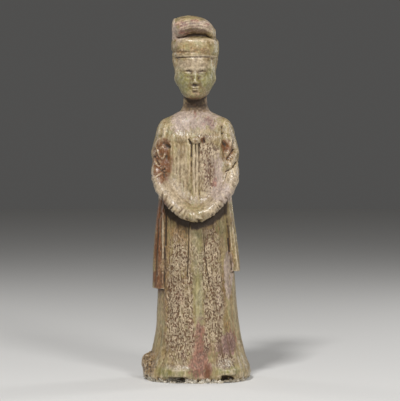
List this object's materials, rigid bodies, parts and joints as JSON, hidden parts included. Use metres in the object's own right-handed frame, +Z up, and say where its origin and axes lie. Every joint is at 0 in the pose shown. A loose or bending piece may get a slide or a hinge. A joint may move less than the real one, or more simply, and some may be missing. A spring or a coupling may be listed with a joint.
{
  "type": "glazed earthenware attendant figure",
  "caption": "Standing court lady in a high-waisted pleated dress and shawl, hands joined inside long sleeves, with tall layered hair.",
  "frame": {"origin": "on the flat foot, under the middle of the skirt", "axes": "+Z up through the head, -Y towards the front of the figure, +X towards her left hand"},
  "size_m": [0.0857, 0.0637, 0.29],
  "materials": {
    "straw_glaze": "crackled straw glaze with amber and pink stains"
  },
  "bodies": {
    "root": {"attendant_lady": "straw_glaze"}
  },
  "joints": []
}
